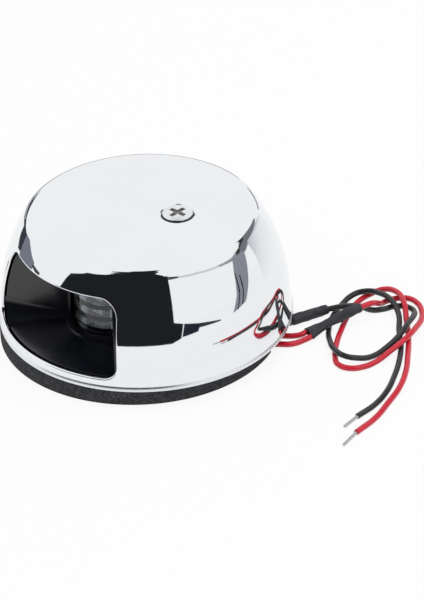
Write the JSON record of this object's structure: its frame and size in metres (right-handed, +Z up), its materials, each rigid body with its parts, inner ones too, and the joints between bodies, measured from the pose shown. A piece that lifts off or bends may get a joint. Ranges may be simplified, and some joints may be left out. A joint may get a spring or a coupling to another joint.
{
  "type": "navigation light",
  "caption": "Round polished-steel boat navigation light: domed screw-on cap with a wide side window, clear lens in a black shroud, foam gasket and spliced wire leads.",
  "frame": {"origin": "centre of the foam gasket's underside, on the axis of the round cap", "axes": "+Z up, away from the mounting surface; the window faces -Y; the leads leave towards +X +Y"},
  "size_m": [0.1198, 0.0989, 0.0371],
  "materials": {
    "polished_steel": "mirror-polished stainless steel",
    "screw_steel": "stainless steel",
    "zinc_steel": "zinc plated",
    "brass": "turned brass",
    "black_abs": "moulded, satin",
    "black_gloss": "moulded, glossy",
    "foam": "closed-cell foam",
    "black_rubber": "smooth rubber",
    "clear_lens": "clear polycarbonate",
    "white_plastic": "moulded, white",
    "dark_board": "dark solder mask",
    "led_yellow": "phosphor and clear resin",
    "dark_ceramic": "chip resistor",
    "red_pvc": "wire insulation",
    "black_pvc": "wire insulation",
    "shrink_sleeve": "heat-shrink tube",
    "tinned_copper": "tinned strands"
  },
  "bodies": {
    "base": {"base_plate": "black_abs", "screw_insert": "brass", "foam_gasket": "foam", "light_shroud": "black_gloss", "shroud_screws": "zinc_steel", "lens": "clear_lens", "lens_seal": "black_rubber", "board_holder": "white_plastic", "led_board": "dark_board", "led_emitters": "led_yellow", "board_resistors": "dark_ceramic", "board_pins": "brass", "wire_seal": "black_rubber", "red_tail_a": "red_pvc", "red_tail_b": "red_pvc", "black_tail_a": "black_pvc", "black_tail_b": "black_pvc", "red_splice_sleeve": "shrink_sleeve", "black_splice_sleeve": "shrink_sleeve", "red_supply_lead": "red_pvc", "black_supply_lead": "black_pvc", "red_tinned_end": "tinned_copper", "black_tinned_end": "tinned_copper"},
    "cap": {"cover": "polished_steel"},
    "seal_ring": {"screw_seal": "black_rubber"},
    "screw": {"cover_screw": "screw_steel"}
  },
  "joints": [
    {"name": "cover_lift", "type": "slide", "parent": "base", "child": "cap", "axis": [0, 0, 1], "range_m": [0, 0.04]},
    {"name": "screw_rise", "type": "slide", "parent": "cap", "child": "seal_ring", "axis": [0, 0, 1], "range_m": [0, 0.0088]},
    {"name": "screw_turn", "type": "hinge", "parent": "seal_ring", "child": "screw", "pos_m": [0.0077, 0.0059, 0.0366], "axis": [0, 0, 1], "range_deg": [0, 4527]}
  ],
  "couplings": [
    {"joint": "screw_turn", "follows": "screw_rise", "rad_per_m": 8976}
  ]
}
